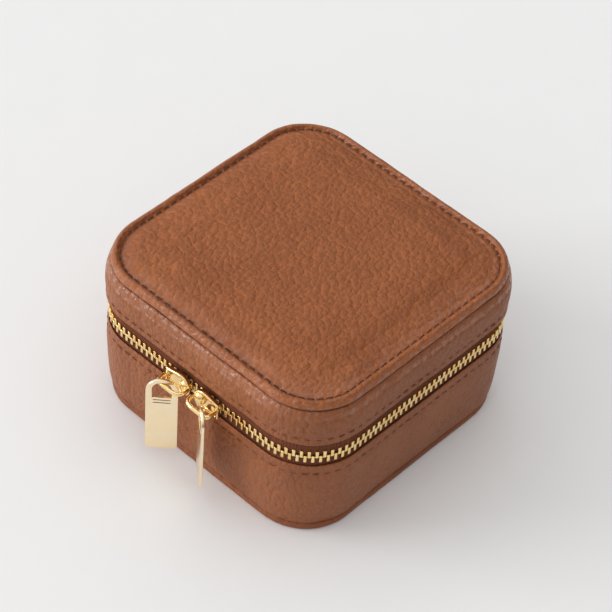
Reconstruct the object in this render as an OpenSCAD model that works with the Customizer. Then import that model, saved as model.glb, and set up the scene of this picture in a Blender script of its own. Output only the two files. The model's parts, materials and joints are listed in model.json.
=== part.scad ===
// Square zip-round leather jewellery case with a hinged lid, two zip sliders and their pull tabs.
// Origin: centre of the underside. +Z is up, the zip pulls hang on the -Y side, the hinge is on the +Y side.

/* [Case] */
// Half of the outside width and depth
case_half = 50; // [49.5:0.1:50.5]
// Length of the straight stretch on each side, which fixes the corner radius
straight_len = 59.6; // [58:0.4:61]
// Height of the middle of the zip above the table
zip_z = 35.8; // [35.5:0.1:36.2]
// Height of the flat part of the padded top
top_z = 58.8; // [58.5:0.1:59.5]
// Amount by which the base wall leans in towards the bottom
base_lean = 1.4; // [1:0.1:1.6]
// Leather thickness
leather_t = 1; // [0.9:0.1:1.1]
// Thickness of the stiff shells
shell_t = 1.8; // [1.6:0.1:2]
// Diameter of the rolled piping round the top
piping_d = 3; // [2.6:0.1:3]

/* [Zip] */
// Distance from one tooth to the next in a row
tooth_pitch = 2.25; // [2.1:0.05:2.5]
// Width of a tooth along the row
tooth_w = 1; // [1:0.05:1.2]
// Thickness of the chain, from its outer face to its inner face
tooth_depth = 2.5; // [2.3:0.1:2.5]
// Half of the gap that the slider web runs in, between the two rows
tip_gap = 0.35; // [0.3:0.05:0.4]
// Thickness of the woven tape
tape_t = 0.5; // [0.4:0.05:0.5]
// Length of a slider along the zip
slider_len = 10.2; // [10:0.1:10.4]
// Middle of the left slider along the front
slider_left_x = -4.7; // [-5:0.1:-4.6]
// Middle of the right slider along the front
slider_right_x = 7.2; // [7:0.1:7.4]

/* [Pull tabs] */
// Place of the left tab along the front
tab_left_x = -6.9; // [-7:0.1:-6.5]
// Place of the right tab along the front
tab_right_x = 9.9; // [9.5:0.1:10]
// Width of a pull tab
tab_w = 10; // [9.6:0.1:10]
// Length of a pull tab
tab_len = 31; // [28:0.5:31]
// Thickness of a pull tab
tab_t = 1; // [1:0.1:1.2]
// Turn of the left tab away from the front face
tab_left_turn = 41; // [36:1:42]
// Turn of the right tab away from the front face
tab_right_turn = -39; // [-42:1:-36]

/* [Hinge strip] */
// Width of the leather strip that hinges the lid at the back
hinge_w = 54; // [50:1:54]
// Height of the hinge strip above and below the zip
hinge_reach = 9.5; // [9:0.5:10]

/* [Inside] */
// Number of ring rolls
roll_count = 5; // [5:1:5]
// Height of the ring rolls
roll_h = 19; // [16:1:19]
// Front face of the long divider
divider_y = 4; // [3:1:5]
// Left face of the cross divider
divider_x = 10; // [0:1:20]
// Height of the dividers
divider_h = 21; // [18:1:22]
// Thickness of the dividers
divider_t = 2.2; // [2:0.1:2.4]
// Width and depth of the mirror
mirror_w = 70; // [60:1:70]

/* [Hidden] */
$fn = 64;

// Every layer of the wall is an offset of one outline, so all the corners share these four centres.
straight = straight_len / 2;

// Wall heights
panel_t = 2.6;
base_lip_z = zip_z - 3.8;
lid_lip_z = zip_z + 5;
lid_crease_z = 55.05;
core_top_z = base_lip_z - 0.4;
tape_low_z = 24;
lid_core_low_z = lid_lip_z + 0.3;
lid_tape_top_z = 47.5;
lid_bend_z = 51;

// Distance of each wall layer from the middle of the case
base_top_half = case_half - 0.4;
chain_half = case_half - 1.55;
tape_out = chain_half + tape_t / 2;
tape_in = chain_half - tape_t / 2;
lining_t = 0.7;
padding_t = 0.6;
skin_gap = 0.05;
panel_inset = 0.6;
base_inner_half = 45;
lid_core_half = tape_in;
lid_inner_half = lid_core_half - shell_t;

// Inside of the base
floor_z = panel_t + shell_t;
pad_t = 1.2;
pad_z = floor_z + pad_t;
room_half = base_inner_half - lining_t;
room_r = room_half - straight;
fit_gap = 0.1;
roll_gap = 0.25;

// Inside of the lid
lid_shell_top_z = lid_crease_z - skin_gap;
lid_shell_under_z = lid_shell_top_z - shell_t;
panel_lining_t = 1.6;
mirror_t = 1.6;
mirror_top_z = lid_shell_under_z - panel_lining_t;
mirror_z = mirror_top_z - mirror_t;
mirror_r = 6;

// Top of the lid
piping_half = 46.95;
top_half = piping_half - piping_d / 2 - skin_gap;

// Hinge: the axis runs along the outermost fibre of the strip, level with the zip.
hinge_y = case_half + 0.95;
strip_t = 0.9;

// Zip
chain_r = chain_half - straight;
arc_len = PI / 2 * chain_r;
chain_end = 3 * straight + 2 * arc_len;
tooth_top = 2.45;
slot_floor = 1.3;
slot_half = tape_t / 2 + 0.03;
tooth_last = floor(chain_end / tooth_pitch) - 1;
stop_s = (tooth_last + 1.4) * tooth_pitch;
stop_w = 1.6;

// Sliders
plate_out_t = 1.5;
plate_in_t = 0.8;
plate_gap = 0.3;
chain_face_y = -chain_half - tooth_depth / 2;
chain_back_y = -chain_half + tooth_depth / 2;
plate_out_y = chain_face_y - plate_gap;
plate_in_y = chain_back_y + plate_gap;
tail_half = 3;
shoulder_half = 3.95;
nose_r = 3.95;
flange_t = 0.8;
flange_in = 1.1;
web_t = 0.3;
web_start = 0.5;
bridge_r = 0.75;
bridge_leg = 0.85;
bar_reach = 4.1;
bar_y = plate_out_y - plate_out_t - bar_reach;
bar_z = zip_z + 0.4;

// Pull tabs, measured from the bar they hang on
tab_hole_top = 1.1;
tab_hole_r = 3;
tab_hole_h = 6.7;
tab_rim = 1.3;
tab_top = tab_hole_top + tab_rim;
tab_arch_r = tab_w / 2;
tab_arch_z = tab_top - tab_arch_r;
tab_hole_z = tab_hole_top - tab_hole_h;
tab_bottom_z = tab_top - tab_len;
tab_corner_r = 1;

// Colours
leather = "#9a6244";
dark_leather = "#8a563b";
velvet = "#d9c6ac";
board = "#b9a88e";
foam = "#ece6d6";
tape = "#5b3a2b";
gold = "#e2c27a";
glass = "#cfd8dc";

// Rounded square whose straight sides lie "half" from the middle
module rounded_square(half) {
    square([2 * half, 2 * straight], center = true);
    square([2 * straight, 2 * half], center = true);
    for (x = [-straight, straight], y = [-straight, straight])
        translate([x, y]) circle(half - straight);
}

// Flat slab with the outline of the case
module slab(half, low, high) {
    translate([0, 0, low]) linear_extrude(high - low) rounded_square(half);
}

// Upright wall with the outline of the case
module ring(outer, inner, low, high) {
    translate([0, 0, low]) linear_extrude(high - low) difference() {
        rounded_square(outer);
        rounded_square(inner);
    }
}

// Wall whose section, given as [distance from the middle, height], is carried round the outline
module swept(section) {
    corner = [for (p = section) [p.x - straight, p.y]];
    for (turn = [0:90:270]) rotate(turn) {
        translate([0, straight, 0]) rotate([90, 0, 0]) linear_extrude(2 * straight) polygon(section);
        translate([straight, straight, 0]) rotate_extrude(angle = 90) polygon(corner);
    }
}

// Distance of the base wall's outer face from the middle at a height
function base_half(z) = base_top_half - base_lean * (base_lip_z - z) / (base_lip_z - panel_t);

// Place on the zip's middle line at a distance along it from the middle of the front: [x, y, turn]
function chain_place(s) =
    s < straight ? [s, -chain_half, 0]
    : s < straight + arc_len ? let (t = (s - straight) / chain_r * 180 / PI)
        [straight + chain_r * sin(t), -straight - chain_r * cos(t), t]
    : s < 3 * straight + arc_len ? [chain_half, s - 2 * straight - arc_len, 90]
    : s < chain_end ? let (t = (s - 3 * straight - arc_len) / chain_r * 180 / PI)
        [straight + chain_r * cos(t), straight + chain_r * sin(t), 90 + t]
    : [straight - (s - chain_end), chain_half, 180];

// Puts a piece on the zip, on the right for s > 0 and mirrored on the left for s < 0
module on_chain(s) {
    place = chain_place(abs(s));
    mirror([s < 0 ? 1 : 0, 0, 0]) translate([place.x, place.y, zip_z]) rotate(place.z) children();
}

// Clamp-shaped tooth that grips the tape's edge; side is 1 above the zip's middle and -1 below it
module tooth(side, width) {
    half = tooth_depth / 2;
    section = [
        [-half, tip_gap], [half, tip_gap], [half, tooth_top], [slot_half, tooth_top],
        [slot_half, slot_floor], [-slot_half, slot_floor], [-slot_half, tooth_top], [-half, tooth_top]
    ];
    mirror([0, 0, side < 0 ? 1 : 0])
        translate([-width / 2, 0, 0]) rotate([90, 0, 90]) linear_extrude(width) polygon(section);
}

module tooth_row(side, shift) {
    count = tooth_last - (shift > 0 ? 1 : 0);
    for (i = [0:count]) {
        on_chain((i + shift) * tooth_pitch) tooth(side, tooth_w);
        if (i + shift > 0) on_chain(-(i + shift) * tooth_pitch) tooth(side, tooth_w);
    }
}

module zip_stops(side) {
    for (s = [-stop_s, stop_s]) on_chain(s) tooth(side, stop_w);
}

module zip_tape(low, high) {
    difference() {
        ring(tape_out, tape_in, low, high);
        translate([-hinge_w / 2, straight, low - 1]) cube([hinge_w, case_half, high - low + 2]);
    }
}

module hinge_strip(low, high) {
    translate([-hinge_w / 2, hinge_y - strip_t, low]) cube([hinge_w, strip_t, high - low]);
}

// ---- Base ----
module base_bottom_panel() {
    color(dark_leather) slab(base_half(panel_t) - panel_inset, 0, panel_t);
}

module base_core_shell() {
    outer_low = base_half(panel_t) - leather_t - padding_t;
    outer_high = base_half(base_lip_z) - leather_t - padding_t;
    color(board) union() {
        slab(base_inner_half, panel_t, floor_z);
        swept([
            [base_inner_half, panel_t], [outer_low, panel_t],
            [outer_high, core_top_z], [base_inner_half, core_top_z]
        ]);
    }
}

module base_padding() {
    low = base_half(panel_t) - leather_t;
    high = base_half(tape_low_z) - leather_t;
    thick = padding_t - skin_gap;
    color(foam) swept([
        [low - thick, panel_t], [low - skin_gap, panel_t],
        [high - skin_gap, tape_low_z - skin_gap], [high - thick, tape_low_z - skin_gap]
    ]);
}

module base_leather_wall() {
    color(leather) swept([
        [base_half(panel_t) - leather_t, panel_t], [base_half(panel_t), panel_t],
        [base_half(base_lip_z), base_lip_z], [tape_out, base_lip_z],
        [tape_out, tape_low_z], [base_half(tape_low_z) - leather_t, tape_low_z]
    ]);
}

module base_lining_wall() {
    color(velvet) ring(base_inner_half, room_half, floor_z, core_top_z);
}

module base_floor_pad() {
    color(velvet) slab(room_half, floor_z, pad_z);
}

module base_zip_tape() {
    color(tape) zip_tape(tape_low_z, zip_z - slot_floor - skin_gap);
}

module base_zip_teeth() {
    color(gold) tooth_row(-1, 0);
}

module base_zip_stops() {
    color(gold) zip_stops(-1);
}

module hinge_strip_lower() {
    color(dark_leather) hinge_strip(zip_z - hinge_reach, zip_z - skin_gap);
}

// ---- Ring rolls and dividers ----
board_t = 1.2;
divider_gap = 0.3;
roll_zone_y = divider_y + divider_t + divider_gap;
roll_pitch = (room_half - fit_gap - roll_zone_y) / roll_count;
roll_w = roll_pitch - roll_gap;

// Half of the room's width at a distance from its middle line
function room_reach(y) = y < straight ? room_half : straight + sqrt(room_r ^ 2 - (y - straight) ^ 2);

module ring_roll_board() {
    color(board) intersection() {
        slab(room_half - fit_gap, pad_z, pad_z + board_t);
        translate([-room_half, roll_zone_y, 0]) cube([2 * room_half, room_half, top_z]);
    }
}

// Foam roll with a round top, as long as the room at its rear face
module ring_roll(i) {
    front_y = roll_zone_y + i * roll_pitch;
    half_len = room_reach(front_y + roll_w) - roll_gap;
    low = pad_z + board_t;
    color(velvet) translate([-half_len, front_y + roll_w / 2, low]) rotate([90, 0, 90])
        linear_extrude(2 * half_len) union() {
            translate([-roll_w / 2, 0]) square([roll_w, roll_h - roll_w / 2]);
            translate([0, roll_h - roll_w / 2]) circle(roll_w / 2);
        }
}

module divider_long() {
    half_len = room_half - fit_gap;
    color(velvet) translate([-half_len, divider_y, pad_z]) cube([2 * half_len, divider_t, divider_h]);
}

module divider_cross() {
    front_y = -room_half + fit_gap;
    color(velvet) translate([divider_x, front_y, pad_z])
        cube([divider_t, divider_y - front_y - fit_gap, divider_h]);
}

// ---- Lid ----
module lid_core_shell() {
    color(board) union() {
        slab(lid_inner_half, lid_shell_under_z, lid_shell_top_z);
        swept([
            [lid_inner_half, lid_core_low_z], [lid_core_half, lid_core_low_z],
            [lid_core_half, lid_bend_z], [lid_core_half - 0.6, lid_shell_top_z],
            [lid_inner_half, lid_shell_top_z]
        ]);
    }
}

module lid_wall_padding() {
    color(foam) ring(tape_out - skin_gap, lid_core_half + skin_gap, lid_tape_top_z + skin_gap, lid_bend_z);
}

module lid_leather_wall() {
    lip_half = tape_out + leather_t;
    crease_half = case_half - 1.1;
    color(leather) swept([
        [tape_out, lid_lip_z], [lip_half, lid_lip_z], [case_half, lid_lip_z + 4], [case_half, lid_bend_z - 1],
        [case_half - 0.3, lid_bend_z + 2], [crease_half, lid_crease_z],
        [crease_half - leather_t, lid_crease_z], [tape_out, lid_bend_z + 0.5]
    ]);
}

module lid_piping() {
    radius = piping_d / 2;
    level = lid_shell_top_z + radius + skin_gap;
    color(leather) for (turn = [0:90:270]) rotate(turn) {
        translate([piping_half, straight, level]) rotate([90, 0, 0]) cylinder(h = 2 * straight, r = radius);
        translate([straight, straight, level]) rotate_extrude(angle = 90)
            translate([piping_half - straight, 0]) circle(radius);
    }
}

module lid_top_foam() {
    color(foam) slab(top_half, lid_shell_top_z, top_z - leather_t);
}

module lid_top_leather() {
    color(leather) slab(top_half, top_z - leather_t, top_z);
}

module lid_lining_wall() {
    color(velvet) ring(lid_inner_half, lid_inner_half - lining_t, lid_core_low_z, lid_shell_under_z);
}

module lid_lining_panel() {
    color(velvet) slab(lid_inner_half - lining_t, mirror_top_z, lid_shell_under_z);
}

module mirror_outline(width) {
    side = width - 2 * mirror_r;
    square([width, side], center = true);
    square([side, width], center = true);
    for (x = [-side / 2, side / 2], y = [-side / 2, side / 2]) translate([x, y]) circle(mirror_r);
}

module mirror_frame() {
    color(velvet) translate([0, 0, mirror_z]) linear_extrude(mirror_t) difference() {
        rounded_square(lid_inner_half - lining_t);
        mirror_outline(mirror_w + 2 * fit_gap);
    }
}

module mirror_glass() {
    color(glass) translate([0, 0, mirror_z]) linear_extrude(mirror_t) mirror_outline(mirror_w);
}

module lid_zip_tape() {
    color(tape) zip_tape(zip_z + slot_floor + skin_gap, lid_tape_top_z);
}

module lid_zip_teeth() {
    color(gold) tooth_row(1, 0.5);
}

module lid_zip_stops() {
    color(gold) zip_stops(1);
}

module hinge_strip_upper() {
    color(dark_leather) hinge_strip(zip_z + skin_gap, zip_z + hinge_reach);
}

// ---- Sliders, drawn with the nose towards +X and turned over for the one on the right ----
module slider_outline() {
    nose_x = slider_len / 2 - nose_r;
    polygon([
        [-slider_len / 2, -tail_half], [nose_x, -shoulder_half],
        [nose_x, shoulder_half], [-slider_len / 2, tail_half]
    ]);
    translate([nose_x, 0]) circle(nose_r);
}

// Plate of a slider between two distances from the middle of the case
module slider_plate(front_y, thickness) {
    translate([0, front_y + thickness, zip_z]) rotate([90, 0, 0]) linear_extrude(thickness) slider_outline();
}

module slider_body() {
    union() {
        slider_plate(plate_out_y - plate_out_t, plate_out_t);
        slider_plate(plate_in_y, plate_in_t);
        translate([web_start, plate_out_y - plate_out_t / 2, zip_z - web_t / 2])
            cube([slider_len / 2 - 2 * web_start, plate_in_y - plate_out_y + plate_out_t, web_t]);
        translate([-slider_len / 2, plate_out_y - plate_out_t / 2, zip_z - tail_half - flange_t / 2])
            cube([slider_len / 2, flange_in + plate_out_t / 2, flange_t / 2]);
    }
}

module slider_bridge() {
    leg_len = plate_out_y - plate_out_t - bar_y;
    union() {
        translate([-slider_len / 2, bar_y, bar_z]) rotate([0, 90, 0]) cylinder(h = slider_len, r = bridge_r);
        for (x = [-slider_len / 2, slider_len / 2 - bridge_leg])
            translate([x, bar_y, bar_z - bridge_r]) cube([bridge_leg, leg_len, 2 * bridge_r]);
    }
}

module slider_left_body() {
    color(gold) translate([slider_left_x, 0, 0]) slider_body();
}

module slider_left_bridge() {
    color(gold) translate([slider_left_x, 0, 0]) slider_bridge();
}

module slider_right_body() {
    color(gold) translate([slider_right_x, 0, 0]) mirror([1, 0, 0]) slider_body();
}

module slider_right_bridge() {
    color(gold) translate([slider_right_x, 0, 0]) mirror([1, 0, 0]) slider_bridge();
}

// ---- Pull tabs ----
module tab_outline() {
    side = tab_w - 2 * tab_corner_r;
    low = tab_bottom_z + tab_corner_r;
    difference() {
        union() {
            translate([0, tab_arch_z]) circle(tab_arch_r);
            translate([-tab_w / 2, low]) square([tab_w, tab_arch_z - low]);
            translate([-side / 2, tab_bottom_z]) square([side, tab_corner_r]);
            for (x = [-side / 2, side / 2]) translate([x, low]) circle(tab_corner_r);
        }
        translate([0, tab_hole_top - tab_hole_r]) circle(tab_hole_r);
        translate([-tab_hole_r, tab_hole_z]) square([2 * tab_hole_r, tab_hole_h - tab_hole_r]);
    }
}

// Tab hanging from the bar, with two engraved lines under its hole
module pull_tab() {
    line_w = 0.3;
    line_depth = 0.15;
    line_len = 5.4;
    line_drops = [0.7, 1.9];
    difference() {
        translate([0, tab_t / 2, 0]) rotate([90, 0, 0]) linear_extrude(tab_t) tab_outline();
        for (drop = line_drops)
            translate([-line_len / 2, -tab_t / 2 - 1, tab_hole_z - drop - line_w])
                cube([line_len, 1 + line_depth, line_w]);
    }
}

module pull_tab_left() {
    color(gold) translate([tab_left_x, bar_y, bar_z]) rotate(tab_left_turn) pull_tab();
}

module pull_tab_right() {
    color(gold) translate([tab_right_x, bar_y, bar_z]) rotate(tab_right_turn) pull_tab();
}

base_bottom_panel();
base_core_shell();
base_padding();
base_leather_wall();
base_lining_wall();
base_floor_pad();
base_zip_tape();
base_zip_teeth();
base_zip_stops();
hinge_strip_lower();
ring_roll_board();
ring_roll(0);  // ring_roll_1
ring_roll(1);  // ring_roll_2
ring_roll(2);  // ring_roll_3
ring_roll(3);  // ring_roll_4
ring_roll(4);  // ring_roll_5
divider_long();
divider_cross();
lid_core_shell();
lid_wall_padding();
lid_leather_wall();
lid_piping();
lid_top_foam();
lid_top_leather();
lid_lining_wall();
lid_lining_panel();
mirror_frame();
mirror_glass();  // mirror
lid_zip_tape();
lid_zip_teeth();
lid_zip_stops();
hinge_strip_upper();
slider_left_body();
slider_left_bridge();
pull_tab_left();
slider_right_body();
slider_right_bridge();
pull_tab_right();
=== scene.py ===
import json
import math

import bmesh
import bpy
import numpy as np
from mathutils import Matrix, Vector, noise


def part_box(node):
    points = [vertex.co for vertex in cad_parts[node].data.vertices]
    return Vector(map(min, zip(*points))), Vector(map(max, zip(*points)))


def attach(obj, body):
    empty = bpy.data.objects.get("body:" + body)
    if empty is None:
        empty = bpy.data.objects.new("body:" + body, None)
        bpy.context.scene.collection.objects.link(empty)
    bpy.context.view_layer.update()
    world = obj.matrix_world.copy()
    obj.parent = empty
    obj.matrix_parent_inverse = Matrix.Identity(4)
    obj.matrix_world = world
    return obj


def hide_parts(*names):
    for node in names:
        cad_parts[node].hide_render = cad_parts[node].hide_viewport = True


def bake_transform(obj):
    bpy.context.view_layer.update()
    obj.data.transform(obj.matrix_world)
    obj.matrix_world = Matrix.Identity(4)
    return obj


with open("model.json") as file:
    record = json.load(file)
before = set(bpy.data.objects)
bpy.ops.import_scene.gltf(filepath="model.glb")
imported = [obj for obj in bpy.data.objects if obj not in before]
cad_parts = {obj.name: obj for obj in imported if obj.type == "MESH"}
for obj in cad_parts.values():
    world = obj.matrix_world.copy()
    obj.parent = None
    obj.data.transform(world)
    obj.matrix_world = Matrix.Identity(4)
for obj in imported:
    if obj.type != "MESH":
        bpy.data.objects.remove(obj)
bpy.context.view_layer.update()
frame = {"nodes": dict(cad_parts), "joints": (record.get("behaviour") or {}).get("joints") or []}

MM = 0.001

# ---- Driving dimensions, in millimetres, read from the frame ----
JOINTS = {joint["name"]: joint for joint in frame["joints"]}
HINGE = [value / MM for value in JOINTS["lid_hinge"]["pos_m"]]
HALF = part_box("lid_leather_wall")[1].x / MM
ZIP_Z = HINGE[2]
CORNER = HALF - 20.2                    # distance of each corner's centre from the middle of the case
CHAIN = HALF - 1.55                     # middle of the zip chain
PANEL_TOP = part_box("base_bottom_panel")[1].z / MM
BASE_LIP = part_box("base_leather_wall")[1].z / MM
LID_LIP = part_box("lid_leather_wall")[0].z / MM
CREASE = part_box("lid_leather_wall")[1].z / MM
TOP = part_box("lid_top_leather")[1].z / MM

STITCH_PITCH = 3.3
STITCH_LEN = 2.45
THREAD_R = 0.17
TOP_STITCH = 45.45                      # distance of the top seam from the middle of the case
WALL_STITCH_Z = ZIP_Z + 8.2
BASE_STITCH_Z = ZIP_Z - 7.6
TOOTH_PITCH = 2.25


# ---- Meshes ----
def add_mesh(name, points, faces, smooth=True):
    """A new object from points in millimetres."""
    mesh = bpy.data.meshes.new(name)
    mesh.from_pydata((np.asarray(points, float) * MM).tolist(), [], [list(map(int, f)) for f in faces])
    mesh.validate()
    mesh.shade_smooth() if smooth else mesh.shade_flat()
    obj = bpy.data.objects.new(name, mesh)
    bpy.context.scene.collection.objects.link(obj)
    return obj


def finish_piece(obj, body, material, replaces=()):
    obj.data.materials.clear()
    obj.data.materials.append(material)
    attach(obj, body)
    if replaces:
        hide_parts(*replaces)
    return obj


def apply_modifiers(obj):
    bpy.context.view_layer.update()
    shaped = bpy.data.meshes.new_from_object(obj.evaluated_get(bpy.context.evaluated_depsgraph_get()))
    obj.modifiers.clear()
    obj.data = shaped
    return obj


def coordinates(obj):
    values = np.empty(len(obj.data.vertices) * 3)
    obj.data.vertices.foreach_get("co", values)
    return values.reshape(-1, 3) / MM


def move_to(obj, points):
    obj.data.vertices.foreach_set("co", (np.asarray(points, float) * MM).ravel())
    obj.data.update()


def normals(obj):
    values = np.empty(len(obj.data.vertices) * 3)
    obj.data.vertex_normals.foreach_get("vector", values)
    return values.reshape(-1, 3)


def subdivide(obj, levels=1):
    modifier = obj.modifiers.new("subdivision", "SUBSURF")
    modifier.levels = modifier.render_levels = levels
    return apply_modifiers(obj)


def smooth_line(points, count, closed=False):
    """Catmull-Rom line through the points, resampled to even steps."""
    p = np.asarray(points, float)
    n = len(p)
    fine = []
    for i in range(n if closed else n - 1):
        a, b, c, d = (
            (p[(i - 1) % n], p[i], p[(i + 1) % n], p[(i + 2) % n]) if closed
            else (p[max(i - 1, 0)], p[i], p[i + 1], p[min(i + 2, n - 1)])
        )
        for t in np.linspace(0, 1, 24, endpoint=False):
            fine.append(0.5 * (2 * b + (c - a) * t + (2 * a - 5 * b + 4 * c - d) * t**2
                               + (3 * b - a - 3 * c + d) * t**3))
    fine.append(p[0] if closed else p[-1])
    fine = np.array(fine)
    steps = np.concatenate([[0], np.cumsum(np.linalg.norm(np.diff(fine, axis=0), axis=1))])
    wanted = np.linspace(0, steps[-1], count + 1 if closed else count)
    line = np.stack([np.interp(wanted, steps, fine[:, k]) for k in range(p.shape[1])], axis=1)
    return line[:-1] if closed else line


def outline_length(half, corner=CORNER):
    return 8 * corner + 2 * math.pi * (half - corner)


def place_on_outline(s, half, corner=CORNER):
    """[corner-line x, y, outward x, y] at distance s to the right of the middle of the front."""
    arc = math.pi / 2 * (half - corner)
    side = 2 * corner + arc
    s = (s + corner) % (4 * side)
    turn, along = int(s // side), s % side
    if along < 2 * corner:
        x, y, angle = along - corner, -corner, 0
    else:
        x, y, angle = corner, -corner, (along - 2 * corner) / (half - corner)
    ox, oy = math.sin(angle), -math.cos(angle)
    for _ in range(turn):
        x, y, ox, oy = -y, x, -oy, ox
    return x, y, ox, oy


def outline(count, half, corner=CORNER):
    """count places round the case, starting at the middle of its front left corner."""
    length = outline_length(half, corner)
    return np.array([place_on_outline(length * (i / count - 0.125), half, corner) for i in range(count)])


def ring_points(places, half):
    return places[:, :2] + places[:, 2:] * (half - CORNER)


def swept_points(places, section):
    """Grid of points: the section, as [distance from the middle, height], at each place."""
    section = np.asarray(section, float)
    flat = places[:, None, :2] + places[:, None, 2:] * (section[None, :, :1] - CORNER)
    height = np.broadcast_to(section[None, :, 1:2], flat.shape[:2] + (1,))
    return np.concatenate([flat, height], axis=2)


def grid_faces(rows, columns, wrap_rows=True, wrap_columns=True, start=0):
    faces = []
    for i in range(rows if wrap_rows else rows - 1):
        for j in range(columns if wrap_columns else columns - 1):
            a, b = i * columns + j, i * columns + (j + 1) % columns
            c, d = (i + 1) % rows * columns + (j + 1) % columns, (i + 1) % rows * columns + j
            faces.append((start + a, start + d, start + c, start + b))
    return faces


def sweep(name, section, count):
    """Closed wall: a closed section carried round the case."""
    places = outline(count, CHAIN)
    points = swept_points(places, section)
    return add_mesh(name, points.reshape(-1, 3), grid_faces(len(places), len(section)))


def patch(border):
    """Smooth square grid of points that fills a ring of points, whose count is a multiple of 4."""
    n = len(border) // 4
    bottom, right = border[: n + 1], border[n: 2 * n + 1]
    top = border[2 * n: 3 * n + 1][::-1]
    left = np.concatenate([border[3 * n:], border[:1]])[::-1]
    u = np.linspace(0, 1, n + 1)[:, None, None]
    v = np.linspace(0, 1, n + 1)[None, :, None]
    corners = ((1 - u) * (1 - v) * bottom[0] + u * (1 - v) * bottom[-1]
               + (1 - u) * v * top[0] + u * v * top[-1])
    return ((1 - v) * bottom[:, None] + v * top[:, None] + (1 - u) * left[None] + u * right[None]
            - corners)


def closed_pad(name, places, section):
    """Closed pad: the section runs outwards over the top and back in underneath; grids fill both ends."""
    count, n = len(places), len(places) // 4
    walls = swept_points(places, section)
    points, faces = [walls.reshape(-1, 3)], grid_faces(count, len(section), wrap_columns=False)
    start = walls.shape[0] * walls.shape[1]
    around = [(i, 0) for i in range(n)] + [(n, j) for j in range(n)]
    around += [(i, n) for i in range(n, 0, -1)] + [(0, j) for j in range(n, 0, -1)]
    for column, turned in ((0, False), (len(section) - 1, True)):
        grid = patch(walls[:, column])
        index = np.zeros((n + 1, n + 1), int)
        index[1:-1, 1:-1] = start + np.arange((n - 1) ** 2).reshape(n - 1, n - 1)
        for k, (i, j) in enumerate(around):
            index[i, j] = k * len(section) + column
        points.append(grid[1:-1, 1:-1].reshape(-1, 3))
        start += (n - 1) ** 2
        for i in range(n):
            for j in range(n):
                quad = (index[i, j], index[i + 1, j], index[i + 1, j + 1], index[i, j + 1])
                faces.append(quad[::-1] if turned else quad)
    return add_mesh(name, np.concatenate(points), faces)


def plain_underside(obj, level, reach):
    """One flat face in place of the grid under a pad, which nothing shows."""
    mesh = bmesh.new()
    mesh.from_mesh(obj.data)
    under = [v for v in mesh.verts if abs(v.co.z / MM - level) < 0.1
             and max(abs(v.co.x), abs(v.co.y)) / MM < reach]
    bmesh.ops.delete(mesh, geom=under, context="VERTS")
    bmesh.ops.holes_fill(mesh, edges=[e for e in mesh.edges if e.is_boundary], sides=0)
    bmesh.ops.recalc_face_normals(mesh, faces=mesh.faces)
    mesh.to_mesh(obj.data)
    mesh.free()


def swell(obj, held, pressure, cap, frames=16):
    """Cloth pressure puffs the mesh where held is 0; no point moves further than cap millimetres."""
    size = 10                           # the cloth solver works better on a case ten times as big
    before = coordinates(obj)
    obj.data.transform(Matrix.Scale(size, 4))
    group = obj.vertex_groups.new(name="held")
    for level in np.unique(np.round(held, 2)):
        if level > 0:
            group.add(np.nonzero(np.round(held, 2) == level)[0].tolist(), float(level), "REPLACE")
    cloth = obj.modifiers.new("cloth", "CLOTH")
    cloth.settings.vertex_group_mass = "held"
    cloth.settings.use_pressure = True
    cloth.settings.uniform_pressure_force = pressure
    cloth.settings.effector_weights.gravity = 0
    cloth.settings.quality = 5
    scene = bpy.context.scene
    for step in range(1, frames + 1):
        scene.frame_set(step)
    shaped = obj.evaluated_get(bpy.context.evaluated_depsgraph_get()).to_mesh()
    after = np.empty(len(shaped.vertices) * 3)
    shaped.vertices.foreach_get("co", after)
    after = after.reshape(-1, 3) / MM / size
    obj.modifiers.clear()
    obj.vertex_groups.clear()
    scene.frame_set(1)
    moved = after - before
    length = np.linalg.norm(moved, axis=1, keepdims=True)
    move_to(obj, before + moved * np.minimum(1, cap / np.maximum(length, 1e-9)))
    return obj


def wobble(points, size, amount, seed):
    """Smooth random value for each point."""
    offset = Vector((seed * 7.3, seed * 3.1, seed * 5.7))
    return np.array([noise.noise(Vector(p) / size + offset) for p in points]) * amount


def along_outline(points):
    """Distance along the outline and distance from the middle, for each point of the case."""
    x, y = points[:, 0], points[:, 1]
    cx, cy = np.clip(x, -CORNER, CORNER), np.clip(y, -CORNER, CORNER)
    out = np.hypot(x - cx, y - cy)
    half = np.where(out < 1e-6, np.maximum(np.abs(x), np.abs(y)), CORNER + out)
    angle = np.arctan2(x - cx, -(y - cy))
    arc = CHAIN - CORNER
    s = np.where(y < cy, cx, 0.0)
    s = np.select(
        [(y < cy) & (x > cx), (x > cx) & (y >= cy) & (y <= cy), (x > cx) & (y > cy), (y > cy) & (x == cx),
         (y > cy) & (x < cx), (x < cx) & (y == cy), (x < cx) & (y < cy)],
        [CORNER + arc * angle, CORNER + arc * math.pi / 2 + cy + CORNER,
         3 * CORNER + arc * angle, 3 * CORNER + arc * math.pi + CORNER - cx,
         5 * CORNER + arc * (2 * math.pi + angle), 5 * CORNER + arc * 1.5 * math.pi + CORNER - cy,
         7 * CORNER + arc * (2 * math.pi + angle)],
        default=s,
    )
    return s, half


def pucker(s, offset, depth):
    """Leather drawn down where the thread goes through it, seam by seam."""
    return -depth * (0.5 + 0.5 * np.cos(2 * math.pi * (s / STITCH_PITCH + 0.5))) * np.exp(-(offset / 0.75) ** 2)


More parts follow.
